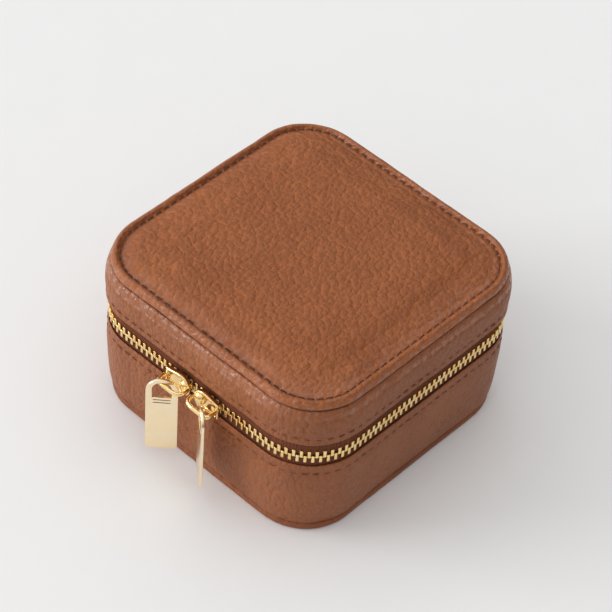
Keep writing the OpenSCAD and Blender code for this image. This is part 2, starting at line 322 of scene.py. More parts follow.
# ---- Materials ----
class Nodes:
    """Short way to build a node material."""

    def __init__(self, name):
        self.material = bpy.data.materials.new(name)
        self.material.use_nodes = True
        self.tree = self.material.node_tree
        self.shader = self.tree.nodes["Principled BSDF"]
        self.place = self.add("ShaderNodeTexCoord").outputs["Object"]

    def add(self, kind, inputs=(), **settings):
        node = self.tree.nodes.new(kind)
        for key, value in settings.items():
            setattr(node, key, value)
        for key, value in dict(inputs).items():
            self.give(node.inputs[key], value)
        return node

    def give(self, socket, value):
        if isinstance(value, bpy.types.NodeSocket):
            self.tree.links.new(value, socket)
        else:
            socket.default_value = value

    def math(self, operation, a, b=0.0, c=0.0, clamp=False):
        node = self.add("ShaderNodeMath", {0: a, 1: b, 2: c}, operation=operation)
        node.use_clamp = clamp
        return node.outputs[0]

    def stretched(self, scale):
        return self.add("ShaderNodeMapping", {"Vector": self.place, "Scale": scale}).outputs[0]

    def noise(self, vector, scale, detail=2.0, rough=0.5):
        found = self.add("ShaderNodeTexNoise", {"Vector": vector, "Scale": scale, "Detail": detail,
                                                "Roughness": rough})
        return found.outputs["Fac"], found.outputs["Color"]

    def ramp(self, value, low, high, to_low=0.0, to_high=1.0, smooth=True):
        node = self.add("ShaderNodeMapRange", {0: value, 1: low, 2: high, 3: to_low, 4: to_high})
        node.interpolation_type = "SMOOTHSTEP" if smooth else "LINEAR"
        return node.outputs[0]

    def blend(self, share, a, b, kind="MIX"):
        node = self.add("ShaderNodeMix", data_type="RGBA", blend_type=kind)
        self.give(node.inputs[0], share)
        self.give(node.inputs[6], a)
        self.give(node.inputs[7], b)
        return node.outputs[2]

    def bump(self, height, distance, strength=1.0, under=None):
        node = self.add("ShaderNodeBump", {"Height": height, "Distance": distance, "Strength": strength})
        if under is not None:
            self.give(node.inputs["Normal"], under)
        return node.outputs[0]

    def finish(self, **sockets):
        for key, value in sockets.items():
            self.give(self.shader.inputs[key.replace("_", " ")], value)
        return self.material


def rgb(red, green, blue):
    """Linear colour from 0 to 255 display values."""
    linear = [c / 12.92 if c <= 0.04045 else ((c + 0.055) / 1.055) ** 2.4
              for c in (red / 255, green / 255, blue / 255)]
    return (*linear, 1.0)


def leather(name, colour, dark, light, cell, deep=1.0, tall=1.0, depth=0.6, crease_highlight=1.05, coat=0.1, tight_z=None):
    """Pebbled leather: soft uneven pillows of size cell, longer by deep along y and by tall along z, with
    creases between them, smaller ones inside, and fine pores. depth is the height of the relief in millimetres,
    crease_highlight how much lighter the creases are painted (a painted highlight along the creases, with the
    pillow tops painted a little darker), and tight_z the height of a band that is drawn tight and shines."""
    n = Nodes(name)
    wide = n.stretched((1000, 1000 / deep, 1000 / tall))   # texture space in millimetres
    _, drift = n.noise(wide, 0.45, 4, 0.6)
    shift = n.add("ShaderNodeVectorMath", {0: drift, 1: (0.5, 0.5, 0.5)}, operation="SUBTRACT")
    shift = n.add("ShaderNodeVectorMath", {0: shift.outputs[0], "Scale": 1.7}, operation="SCALE")
    warped = n.add("ShaderNodeVectorMath", {0: wide, 1: shift.outputs[0]}, operation="ADD").outputs[0]
    pillows = []
    for scale in (1 / cell, 1.8 / cell):
        cells = n.add("ShaderNodeTexVoronoi", {"Vector": warped, "Scale": scale, "Randomness": 1.0,
                                               "Smoothness": 0.12}, feature="SMOOTH_F1")
        far = cells.outputs["Distance"]
        pillows.append(n.math("SUBTRACT", 1.0, n.math("MULTIPLY", far, far)))
    uneven, _ = n.noise(warped, 0.9, 5, 0.65)
    fine, _ = n.noise(wide, 4.0, 4, 0.6)
    height = n.math("MULTIPLY_ADD", pillows[1], 0.35, pillows[0])
    height = n.math("MULTIPLY_ADD", uneven, 0.6, height)
    height = n.math("MULTIPLY_ADD", fine, 0.12, height)
    broad, _ = n.noise(wide, 0.05, 3)
    tint = n.blend(n.ramp(broad, 0.35, 0.65), dark, light)
    tint = n.blend(0.5, tint, colour)
    # painted highlight: the creases are painted lighter than the pillow tops, which are painted a little darker
    for value, low, high in ((n.ramp(height, 1.0, 1.5), crease_highlight, 0.96), (n.ramp(fine, 0.3, 0.7), 0.95, 1.05)):
        share = n.ramp(value, 0.0, 1.0, low, high, smooth=False)
        shade = n.add("ShaderNodeCombineColor", {0: share, 1: share, 2: share}).outputs[0]
        tint = n.blend(1.0, tint, shade, "MULTIPLY")
    shine = n.ramp(height, 0.9, 1.8, 0.6, 0.47)
    if tight_z is not None:
        z = n.add("ShaderNodeSeparateXYZ", {0: n.place}).outputs["Z"]
        away = n.math("ABSOLUTE", n.math("SUBTRACT", z, tight_z * MM))
        band = n.ramp(away, 0.9 * MM, 2.4 * MM, 1.0, 0.0)
        patchy, _ = n.noise(wide, 0.7, 3, 0.7)
        coat = n.math("MULTIPLY_ADD", n.math("MULTIPLY", band, n.ramp(patchy, 0.42, 0.58)), 0.85, coat)
        height = n.math("MULTIPLY", height, n.ramp(band, 0.0, 1.0, 1.0, 0.45, smooth=False))
    relief = n.bump(height, depth * MM)
    return n.finish(Base_Color=tint, Roughness=shine, Normal=relief, Specular_IOR_Level=0.3,
                    Coat_Weight=coat, Coat_Roughness=0.18, Coat_Normal=relief)


def metal(name, colour, deep, rough):
    """Polished plated metal with faint handling marks."""
    n = Nodes(name)
    wide = n.stretched((1000, 1000, 1000))
    cloud, _ = n.noise(wide, 0.25, 3)
    hairs = n.stretched((2200, 2200, 160))
    marks, _ = n.noise(hairs, 1.0, 4, 0.65)
    tint = n.blend(n.ramp(cloud, 0.3, 0.7), colour, deep)
    gloss = n.math("MULTIPLY_ADD", n.ramp(marks, 0.35, 0.75), 0.07, rough)
    return n.finish(Base_Color=tint, Metallic=1.0, Roughness=gloss, Normal=n.bump(marks, 0.004 * MM, 0.35))


def woven(name, colour, dark, pitch, depth):
    """Tight woven tape."""
    n = Nodes(name)
    wide = n.stretched((1000, 1000, 1000))
    waves = []
    for direction in ("X", "Y", "Z"):
        wave = n.add("ShaderNodeTexWave", {"Vector": wide, "Scale": 0.314 / pitch, "Distortion": 0.6,
                                           "Detail": 1.0})
        wave.bands_direction = direction
        waves.append(wave.outputs["Fac"])
    weave = n.math("MULTIPLY", n.math("MAXIMUM", waves[0], waves[1]), waves[2])
    tint = n.blend(n.ramp(weave, 0.1, 0.9), dark, colour)
    return n.finish(Base_Color=tint, Roughness=0.9, Normal=n.bump(weave, depth * MM), Specular_IOR_Level=0.15)


def velvet(name, colour, dark):
    """Short pile with brushed patches."""
    n = Nodes(name)
    wide = n.stretched((1000, 1000, 1000))
    brushed, _ = n.noise(wide, 0.12, 4, 0.6)
    pile, _ = n.noise(wide, 9.0, 3, 0.7)
    tint = n.blend(n.ramp(brushed, 0.3, 0.7), dark, colour)
    tint = n.blend(n.ramp(pile, 0.2, 0.8, 0.0, 0.35), tint, dark)
    height = n.math("MULTIPLY_ADD", brushed, 0.6, pile)
    return n.finish(Base_Color=tint, Roughness=0.9, Normal=n.bump(height, 0.12 * MM, 0.7), Sheen_Weight=0.5,
                    Sheen_Roughness=0.4)


def fibrous(name, colour, dark, scale, depth):
    """Pressed board or open foam, by its grain size."""
    n = Nodes(name)
    wide = n.stretched((1000, 1000, 1000))
    grains = n.add("ShaderNodeTexVoronoi", {"Vector": wide, "Scale": scale}).outputs["Distance"]
    cloud, _ = n.noise(wide, scale * 0.4, 4)
    height = n.math("MULTIPLY", grains, cloud)
    tint = n.blend(n.ramp(height, 0.05, 0.4), dark, colour)
    return n.finish(Base_Color=tint, Roughness=0.88, Normal=n.bump(height, depth * MM))


def twisted_thread(name, colour, dark):
    n = Nodes(name)
    wide = n.stretched((1000, 1000, 1000))
    plies = n.add("ShaderNodeTexWave", {"Vector": wide, "Scale": 1.1, "Distortion": 1.5})
    plies.bands_direction = "DIAGONAL"
    tint = n.blend(plies.outputs["Fac"], dark, colour)
    return n.finish(Base_Color=tint, Roughness=0.65, Normal=n.bump(plies.outputs["Fac"], 0.04 * MM))


def silvered(name):
    n = Nodes(name)
    cloud, _ = n.noise(n.stretched((1000, 1000, 1000)), 0.05, 2)
    gloss = n.math("MULTIPLY_ADD", cloud, 0.02, 0.01)
    return n.finish(Base_Color=(0.9, 0.92, 0.93, 1), Metallic=1.0, Roughness=gloss)


# the crease value sets the painted highlight along the leather creases
TOP_LEATHER = leather("top_leather", rgb(152, 86, 45), rgb(144, 80, 41), rgb(159, 92, 49), cell=1.55, deep=1.2,
                      depth=0.62, crease_highlight=1.17, tight_z=TOP - 2.5)
WALL_LEATHER = leather("wall_leather", rgb(148, 85, 46), rgb(139, 79, 42), rgb(157, 92, 51), tall=1.6,
                       cell=1.6, depth=0.6, coat=0.14, tight_z=CREASE - 1.5)
TRIM_LEATHER = leather("trim_leather", rgb(140, 78, 42), rgb(130, 71, 37), rgb(148, 84, 47), cell=1.6, depth=0.4)
PULL_METAL = metal("pull_metal", rgb(253, 236, 202), rgb(252, 232, 194), 0.17)
SLIDER_METAL = metal("slider_metal", rgb(252, 225, 168), rgb(248, 214, 148), 0.1)
ZIP_METAL = metal("zip_metal", rgb(252, 226, 166), rgb(244, 206, 132), 0.17)
TAPE = woven("zip_tape", rgb(150, 88, 60), rgb(94, 53, 36), 0.45, 0.15)
VELVET = velvet("velvet", rgb(205, 184, 158), rgb(180, 158, 132))
BOARD = fibrous("board", rgb(186, 166, 138), rgb(150, 131, 106), 1.4, 0.05)
FOAM = fibrous("foam", rgb(236, 229, 212), rgb(205, 196, 176), 2.2, 0.15)
THREAD = twisted_thread("thread", rgb(92, 50, 33), rgb(64, 33, 22))
WALL_THREAD = twisted_thread("wall_thread", rgb(122, 71, 47), rgb(92, 51, 34))
ENGRAVED = metal("engraved_metal", rgb(176, 140, 92), rgb(150, 116, 74), 0.35)
MIRROR = silvered("mirror_silver")


# ---- Lining, cushions and rolls ----
def ring_wall(name, section, body, material, nodes, count=240):
    obj = sweep(name, section, count)
    points = coordinates(obj)
    move_to(obj, points + normals(obj) * wobble(points, 9, 0.07, 51)[:, None])
    return finish_piece(obj, body, material, nodes)


def tape(name, side, far_z, body, node):
    """Woven tape with the corded edge that the teeth grip."""
    inner, outer = CHAIN - 0.22, CHAIN + 0.22
    levels = [(inner, 1.95), (CHAIN - 0.42, 1.5), (CHAIN - 0.42, 0.85), (CHAIN, 0.55), (CHAIN + 0.42, 0.85),
              (CHAIN + 0.42, 1.5), (outer, 1.95)]
    section = [(half, ZIP_Z + side * rise) for half, rise in levels] + [(outer, far_z), (inner, far_z)]
    return ring_wall(name, smooth_line(section, 40, closed=True), body, TAPE, [node], 360)


def lining():
    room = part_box("base_floor_pad")[1].x / MM
    floor, core_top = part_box("base_floor_pad")[0].z / MM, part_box("base_core_shell")[1].z / MM
    section = smooth_line([
        (room + 0.1, floor + 0.1), (room, 12), (room, core_top - 2), (room + 0.1, core_top - 0.3),
        (room + 0.6, core_top + 0.08), (46.3, core_top + 0.12), (47.6, core_top + 0.12), (48.05, core_top),
        (47.8, core_top - 0.2), (45.4, core_top - 0.2), (room + 0.66, core_top - 0.6), (room + 0.66, floor + 0.1),
    ], 64, closed=True)
    ring_wall("base_wall_lining", section, "base", VELVET, ["base_lining_wall"])
    core_low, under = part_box("lid_core_shell")[0].z / MM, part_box("lid_lining_panel")[0].z / MM
    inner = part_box("mirror_frame")[1].x / MM
    section = smooth_line([
        (inner + 0.1, under + 1.5), (inner, 47), (inner + 0.02, core_low + 0.5), (inner + 0.6, core_low - 0.35),
        (47.3, core_low - 0.4), (48.0, core_low - 0.3), (48.05, core_low - 0.05), (46.9, core_low - 0.03),
        (inner + 0.66, core_low + 0.7), (inner + 0.66, under + 1.5),
    ], 56, closed=True)
    ring_wall("lid_wall_lining", section, "lid", VELVET, ["lid_lining_wall"])


def floor_cushion():
    low, high = (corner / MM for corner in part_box("base_floor_pad"))
    section = smooth_line([
        (high.x - 2.4, high.z), (high.x - 1.0, high.z - 0.12), (high.x - 0.25, high.z - 0.5),
        (high.x - 0.1, low.z + 0.3), (high.x - 0.5, low.z), (high.x - 2.4, low.z),
    ], 16)
    obj = closed_pad("base_floor_cushion", outline(200, CHAIN), section)
    points = coordinates(obj)
    above = points[:, 2] > high.z - 0.2
    points[:, 2] += np.where(above, wobble(points, 12, 0.12, 61) - 0.08, 0)
    move_to(obj, points)
    return finish_piece(obj, "base", VELVET, ["base_floor_pad"])


def soft_bar(name, node, along, edge, body="base"):
    """Upholstered bar in place of a box-shaped node: rounded over its top and its two ends."""
    low, high = (np.array(corner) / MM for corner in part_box(node))
    low, high = low + 0.03, high - 0.03
    across = 1 - along
    wide, tall, length = high[across] - low[across], high[2] - low[2], high[along] - low[along]
    top_r, foot_r = min(edge, wide / 2), 0.4
    loop = []
    for cx, cz, r, start in ((wide / 2 - top_r, tall - top_r, top_r, 0), (top_r - wide / 2, tall - top_r, top_r, 1),
                             (foot_r - wide / 2, foot_r, foot_r, 2), (wide / 2 - foot_r, foot_r, foot_r, 3)):
        loop += [(cx + r * math.cos(a), cz + r * math.sin(a))
                 for a in np.linspace(start * math.pi / 2, (start + 1) * math.pi / 2, 9)]
    loop = smooth_line(loop, 60, closed=True)
    middle = np.array([0, tall / 2])
    end_r = min(1.6, wide / 2)
    places = [(end_r * (1 - math.cos(a)), end_r * (1 - math.sin(a))) for a in np.linspace(0, math.pi / 2, 7)]
    steps = np.linspace(end_r, length - end_r, max(8, int(length / 0.9)))
    stations = places[:-1] + [(x, 0) for x in steps] + [(length - x, shrink) for x, shrink in places[:-1][::-1]]
    size = np.array([wide / 2, tall / 2])
    loops = []
    for x, shrink in stations:
        ring = middle + (loop - middle) * (size - shrink) / size
        point = np.zeros((len(ring), 3))
        point[:, along] = low[along] + x
        point[:, across] = (low[across] + high[across]) / 2 + ring[:, 0]
        point[:, 2] = low[2] + ring[:, 1]
        loops.append(point)
    obj = loft(name, loops)
    points = coordinates(obj)
    seed = sum(ord(letter) for letter in node) % 97
    move_to(obj, points + normals(obj) * (wobble(points, 7, 0.1, seed) - 0.06)[:, None])
    return finish_piece(obj, body, VELVET, [node])


def mirror_surround():
    """Padded velvet frame that holds the mirror in the lid."""
    low, high = (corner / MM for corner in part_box("mirror_frame"))
    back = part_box("lid_lining_panel")[1].z / MM
    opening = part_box("mirror")[1].x / MM
    count = 240
    outside, inside = outline(count, high.x), outline(count, opening, opening - 6)
    outer, inner = ring_points(outside, high.x - 0.05), inside[:, :2] + inside[:, 2:] * 6.05
    profile = smooth_line([
        (0.0, low.z + 1.2), (0.03, low.z + 0.35), (0.1, low.z - 0.1), (0.35, low.z - 0.45), (0.65, low.z - 0.4),
        (0.9, low.z - 0.05), (1.0, low.z + 0.5), (1.0, back - 0.1), (0.0, back - 0.1),
    ], 34, closed=True)
    share = np.clip(profile[:, 0], 0, 1)[None, :, None]
    flat = inner[:, None] * (1 - share) + outer[:, None] * share
    height = np.broadcast_to(profile[None, :, 1:2], flat.shape[:2] + (1,))
    points = np.concatenate([flat, height], axis=2).reshape(-1, 3)
    obj = add_mesh("mirror_padded_frame", points, grid_faces(count, len(profile)))
    points = coordinates(obj)
    move_to(obj, points + normals(obj) * wobble(points, 8, 0.06, 71)[:, None])
    return finish_piece(obj, "lid", VELVET, ["mirror_frame", "lid_lining_panel"])


def inside():
    lining()
    floor_cushion()
    mirror_surround()
    for i in range(1, 6):
        soft_bar(f"ring_roll_{i}_pad", f"ring_roll_{i}", 0, 3.6)
    soft_bar("divider_long_pad", "divider_long", 0, 1.0)
    soft_bar("divider_cross_pad", "divider_cross", 1, 1.0)


# ---- Leather outside ----
def lid_cover():
    """Padded top: one leather skin over the foam, drawn down at the seam and rolled round the piping."""
    edge = CREASE
    section = smooth_line([
        (38.0, TOP + 0.12), (40.2, TOP - 0.08), (42.3, TOP - 0.5), (43.8, TOP - 1.02), (44.8, TOP - 1.55),
        (TOP_STITCH, TOP - 1.75), (45.85, TOP - 1.45), (46.25, TOP - 0.95), (46.95, TOP - 0.7),
        (47.7, TOP - 0.95), (48.25, TOP - 1.55), (48.5, TOP - 2.35), (48.4, TOP - 3.1), (48.05, edge + 0.2),
        (47.3, edge + 0.02), (46.2, edge),
    ], 38)
    obj = closed_pad("lid_top_cover", outline(400, CHAIN), section)
    points = coordinates(obj)
    half = along_outline(points)[1]
    upper = (half < 38.0) & (points[:, 2] > TOP - 1)
    points[:, 2] += np.where(upper, 0.3 * (1 - (half / 38.0) ** 2), 0)
    move_to(obj, points)
    held = np.where((half < 44.6) & (points[:, 2] > TOP - 1.5), 0.0, 1.0)
    swell(obj, held, 3.0, 0.5)
    subdivide(obj)
    plain_underside(obj, edge, 45.8)
    points = coordinates(obj)
    s, half = along_outline(points)
    above = points[:, 2] > TOP - 2.2
    points[:, 2] += np.where(above, pucker(s, half - TOP_STITCH, 0.28), 0)
    points += normals(obj) * (wobble(points, 14, 0.2, 1) + wobble(points, 4.5, 0.08, 2))[:, None]
    move_to(obj, points)
    return finish_piece(obj, "lid", TOP_LEATHER, ["lid_top_leather", "lid_top_foam", "lid_piping"])


def wall(name, section, seam_z, seed, gathered_z=None):
    """Leather side wall with a seam drawn in along it, small gathers under the bead and soft unevenness."""
    obj = sweep(name, section, 520)
    points = coordinates(obj)
    s, half = along_outline(points)
    outward = normals(obj)
    facing = np.clip(outward[:, 0] * points[:, 0] + outward[:, 1] * points[:, 1], 0, 1)
    push = pucker(s, points[:, 2] - seam_z, 0.22) * facing
    if gathered_z is not None:
        near = np.exp(-((points[:, 2] - gathered_z) / 1.5) ** 2) * facing
        drift = wobble(points * [1, 1, 0.2], 5, 1.0, seed + 2)
        push += near * (0.2 * np.cos(2 * math.pi * (s / 2.3 + drift)) + wobble(points, 1.6, 0.2, seed + 3))
    push += wobble(points * [1, 1, 0.6], 9, 0.28, seed) + wobble(points * [1, 1, 0.4], 3, 0.07, seed + 1)
    move_to(obj, points + outward * push[:, None])
    return subdivide(obj)


def lid_wall():
    lip = LID_LIP
    section = smooth_line([
        (47.4, CREASE - 0.35), (48.15, CREASE - 0.1), (48.75, CREASE - 0.5), (49.25, CREASE - 1.3),
        (49.65, CREASE - 2.5), (HALF - 0.05, CREASE - 4.4), (HALF + 0.05, 48.0), (HALF - 0.08, 46), (HALF - 0.38, WALL_STITCH_Z),
        (HALF - 0.18, 42.9), (HALF - 0.2, lip + 0.9), (HALF - 0.5, lip + 0.38), (HALF - 0.95, lip + 0.4),
        (HALF - 1.2, lip + 0.9), (HALF - 1.28, 47), (HALF - 1.6, 52),
    ], 36, closed=True)
    return finish_piece(wall("lid_side_leather", section, WALL_STITCH_Z, 11, CREASE - 1.7), "lid", WALL_LEATHER,
                        ["lid_leather_wall"])


def base_wall():
    lip = BASE_LIP
    section = smooth_line([
        (46.9, PANEL_TOP + 0.1), (47.4, PANEL_TOP + 0.2), (47.95, PANEL_TOP + 1.1), (48.6, 6.5), (49.15, 12),
        (49.45, 19), (49.58, 25.5), (49.3, BASE_STITCH_Z), (49.52, 29.4), (49.58, lip - 0.7), (49.4, lip + 0.05),
        (49.1, lip + 0.25), (48.82, lip - 0.1), (48.76, 28), (48.4, 24), (47.9, 12), (47.35, 5),
    ], 44, closed=True)
    return finish_piece(wall("base_side_leather", section, BASE_STITCH_Z, 21), "base", WALL_LEATHER,
                        ["base_leather_wall"])


def bottom_cover():
    """Leather-covered bottom board with a soft rim."""
    high = PANEL_TOP + 0.3
    section = smooth_line([
        (45.2, PANEL_TOP + 0.05), (46.5, PANEL_TOP + 0.15), (47.1, high + 0.1), (47.65, high - 0.2),
        (47.95, high - 1.0), (47.8, 0.8), (47.3, 0.15), (46.4, 0.0), (45.2, 0.0),
    ], 26)
    obj = closed_pad("bottom_leather_cover", outline(240, CHAIN), section)
    points = coordinates(obj)
    rim = np.clip((along_outline(points)[1] - 46.8) / 0.6, 0, 1)
    points += normals(obj) * (wobble(points, 8, 0.1, 31) * rim)[:, None]
    move_to(obj, points)
    return finish_piece(obj, "base", TRIM_LEATHER, ["base_bottom_panel"])


def hinge_strip():
    """One strip of leather across the back of the case, over the hinge."""
    low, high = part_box("hinge_strip_lower")[0] / MM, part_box("hinge_strip_upper")[1] / MM
    half_w, middle, tall = high.x, (low.z + high.z) / 2, (high.z - low.z) / 2
    rows, columns = 72, 90
    back = (low.y + high.y) / 2
    points = []
    for side in (0.45, -0.45):
        for v in np.linspace(-1, 1, rows):
            for u in np.linspace(-1, 1, columns):
                edge = 1 - max(abs(u) ** 30, abs(v) ** 16) ** 1.5
                points.append((u * half_w, back + side * (0.35 + 0.65 * edge), middle + v * tall))
    size = rows * columns
    faces = [f[::-1] for f in grid_faces(rows, columns, False, False)]
    faces += grid_faces(rows, columns, False, False, size)
    border = [j for j in range(columns)] + [i * columns + columns - 1 for i in range(1, rows)]
    border += [(rows - 1) * columns + j for j in range(columns - 2, -1, -1)]
    border += [i * columns for i in range(rows - 2, 0, -1)]
    for a, b in zip(border, border[1:] + border[:1]):
        faces.append((a, b, b + size, a + size))
    obj = add_mesh("hinge_leather", points, faces)
    mesh = bmesh.new()
    mesh.from_mesh(obj.data)
    bmesh.ops.recalc_face_normals(mesh, faces=mesh.faces)
    mesh.to_mesh(obj.data)
    mesh.free()
    points = coordinates(obj)
    for seam in (middle + tall - 1.6, middle - tall + 1.6):
        push = pucker(points[:, 0], points[:, 2] - seam, 0.2)
        points[:, 1] += np.where(points[:, 1] > back, push, 0)
    points[:, 1] += np.where(points[:, 1] > back, wobble(points, 7, 0.12, 41), 0)
    move_to(obj, points)
    obj.data.materials.append(TRIM_LEATHER)
    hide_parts("hinge_strip_lower", "hinge_strip_upper")
    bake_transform(obj)
    return obj


# ---- Thread ----
def stitch_row(name, places, body, thread):
    """One thread stitch at each place, given as (middle, direction along the seam, direction out)."""
    rings, sides = 9, 8
    t = np.linspace(-1, 1, rings)
    turn = np.linspace(0, 2 * math.pi, sides, endpoint=False)
    points, faces = [], []
    for middle, along, out in places:
        middle, along, out = (np.asarray(v, float) for v in (middle, along, out))
        across = np.cross(along, out)
        start = len(points)
        for value in t:
            radius = THREAD_R * math.sqrt(max(1 - value**8, 0.04))
            spine = middle + along * value * STITCH_LEN / 2 + out * (0.16 - 0.5 * value**4)
            for angle in turn:
                points.append(spine + radius * (across * math.cos(angle) + out * math.sin(angle)))
        for i in range(rings - 1):
            for j in range(sides):
                a, b = start + i * sides + j, start + i * sides + (j + 1) % sides
                faces.append((a, b, b + sides, a + sides))
        faces.append([start + j for j in range(sides)][::-1])
        faces.append([start + (rings - 1) * sides + j for j in range(sides)])
    return finish_piece(add_mesh(name, points, faces), body, thread)


def seam_places(half, z, out_of, skip_back=0.0):
    """Stitch places round the case; out_of gives the way out of the leather from the outward direction."""
    count = int(outline_length(CHAIN) / STITCH_PITCH)
    found = []
    for i in range(count):
        s = i * STITCH_PITCH
        x, y, ox, oy = place_on_outline(s, CHAIN)
        middle = (x + ox * (half - CORNER), y + oy * (half - CORNER), z)
        if middle[1] > CORNER and abs(middle[0]) < skip_back:
            continue
        found.append((middle, (-oy, ox, 0), out_of(ox, oy)))
    return found


def seams():
    up = lambda ox, oy: (0, 0, 1)
    out = lambda ox, oy: (ox, oy, 0)
    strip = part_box("hinge_strip_upper")
    strip_half, strip_top = strip[1].x / MM, strip[1].z / MM
    strip_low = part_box("hinge_strip_lower")[0].z / MM
    stitch_row("top_seam_thread", seam_places(TOP_STITCH, TOP - 1.5, up), "lid", THREAD)
    stitch_row("lid_wall_thread", seam_places(HALF - 0.42, WALL_STITCH_Z, out, strip_half + 1), "lid", WALL_THREAD)
    stitch_row("base_wall_thread", seam_places(49.3, BASE_STITCH_Z, out, strip_half + 1), "base", WALL_THREAD)
    count = int((2 * strip_half - 3) / STITCH_PITCH)
    for name, z, body in (("hinge_thread_upper", strip_top - 1.6, "lid"),
                          ("hinge_thread_lower", strip_low + 1.6, "base")):
        places = [(((i - (count - 1) / 2) * STITCH_PITCH, strip[1].y / MM - 0.15, z), (1, 0, 0), (0, 1, 0))
                  for i in range(count)]
        stitch_row(name, places, body, WALL_THREAD)


# ---- Zip ----
def copies(name, shape, frames):
    """One mesh of many copies; shape is (points, faces) and each frame is (origin, x axis, y axis, z axis)."""
    points, faces = shape
    points = np.asarray(points)
    all_points, all_faces = [], []
    for origin, ax, ay, az in frames:
        start = len(all_points) * len(points)
        all_points.append(np.asarray(origin) + points @ np.array([ax, ay, az], float))
        flip = np.dot(np.cross(ax, ay), az) < 0
        for face in faces:
            moved = [start + v for v in face]
            all_faces.append(moved[::-1] if flip else moved)
    return add_mesh(name, np.concatenate(all_points), all_faces)


def prism(profile, low, high, bevel, segments=2):
    """Bevelled prism: profile in x and z, from y = low to y = high. Returns (points, faces)."""
    mesh = bmesh.new()
    near = [mesh.verts.new((x, low, z)) for x, z in profile]
    face = mesh.faces.new(near)
    extruded = bmesh.ops.extrude_face_region(mesh, geom=[face])
    moved = [v for v in extruded["geom"] if isinstance(v, bmesh.types.BMVert)]
    bmesh.ops.translate(mesh, verts=moved, vec=(0, high - low, 0))
    bmesh.ops.recalc_face_normals(mesh, faces=mesh.faces)
    bmesh.ops.bevel(mesh, geom=mesh.edges[:], offset=bevel, segments=segments, affect="EDGES", profile=0.6)
    mesh.verts.index_update()
    shape = ([tuple(v.co) for v in mesh.verts], [[v.index for v in f.verts] for f in mesh.faces])
    mesh.free()
    return shape


def zip_row(name, side, shift, body, replaced):
    """Metal teeth from the middle of the front round to the hinge strip, on both sides."""
    profile = [(-0.5, 2.35), (0.5, 2.35), (0.5, 0.95), (0.36, 0.72), (0.53, 0.3), (0.53, -0.2), (0.3, -0.42),
               (-0.3, -0.42), (-0.53, -0.2), (-0.53, 0.3), (-0.36, 0.72), (-0.5, 0.95)]
    shape = prism(profile, -0.85, 0.85, 0.17)
    stop_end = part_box("lid_zip_stops")[1].x / MM
    last = 4 * CORNER + math.pi * (CHAIN - CORNER) - stop_end - 0.65
    count = int(last / TOOTH_PITCH)
    frames = []
    for i in range(-count, count + 1):
        s = (i + shift) * TOOTH_PITCH
        if abs(s) > last:
            continue
        x, y, ox, oy = place_on_outline(s, CHAIN)
        origin = (x + ox * (CHAIN - CORNER), y + oy * (CHAIN - CORNER), ZIP_Z)
        frames.append((origin, (-oy, ox, 0), (ox, oy, 0), (0, 0, side)))
    obj = copies(name, shape, frames)
    return finish_piece(obj, body, ZIP_METAL, [replaced])


# ---- Sliders and pull tabs ----
def loft(name, loops, cap_start=True, cap_end=True):
    """Skin over loops that have the same number of points."""
    count = len(loops[0])
    points = np.concatenate([np.asarray(loop, float) for loop in loops])
    faces = grid_faces(len(loops), count, wrap_rows=False)
    if cap_start:
        faces.append(list(range(count)))
    if cap_end:
        faces.append([len(points) - count + i for i in range(count)][::-1])
    obj = add_mesh(name, points, faces)
    mesh = bmesh.new()
    mesh.from_mesh(obj.data)
    bmesh.ops.recalc_face_normals(mesh, faces=mesh.faces)
    mesh.to_mesh(obj.data)
    mesh.free()
    return obj


def join(first, *others):
    """Joins meshes into the first object."""
    mesh = bmesh.new()
    for obj in (first, *others):
        mesh.from_mesh(obj.data)
    mesh.to_mesh(first.data)
    mesh.free()
    for obj in others:
        bpy.data.objects.remove(obj)
    first.data.shade_smooth()
    return first


def slider_outline(length, tail, shoulder, nose):
    """Outline with a flat tail on the left and a round nose on the right, as points (x, z)."""
    nose_x = length / 2 - nose
    points = []
    for t in np.linspace(0, 1, 14, endpoint=False):
        points.append((-length / 2, -tail + 2 * tail * t))
    for t in np.linspace(0, 1, 16, endpoint=False):
        points.append((-length / 2 + (nose_x + length / 2) * t, tail + (shoulder - tail) * t * t * (3 - 2 * t)))
    for angle in np.linspace(math.pi / 2, -math.pi / 2, 34, endpoint=False):
        points.append((nose_x + nose * math.cos(angle), shoulder * math.sin(angle)))
    for t in np.linspace(1, 0, 16, endpoint=False):
        points.append((-length / 2 + (nose_x + length / 2) * t, -tail - (shoulder - tail) * t * t * (3 - 2 * t)))
    return np.array(points)


def inset(points, distance):
    """Outline moved inwards by a distance, with its corners eased."""
    ahead, behind = np.roll(points, -1, axis=0), np.roll(points, 1, axis=0)
    along = ahead - behind
    along /= np.maximum(np.linalg.norm(along, axis=1, keepdims=True), 1e-9)
    inward = np.stack([along[:, 1], -along[:, 0]], axis=1)
    return points + inward * distance


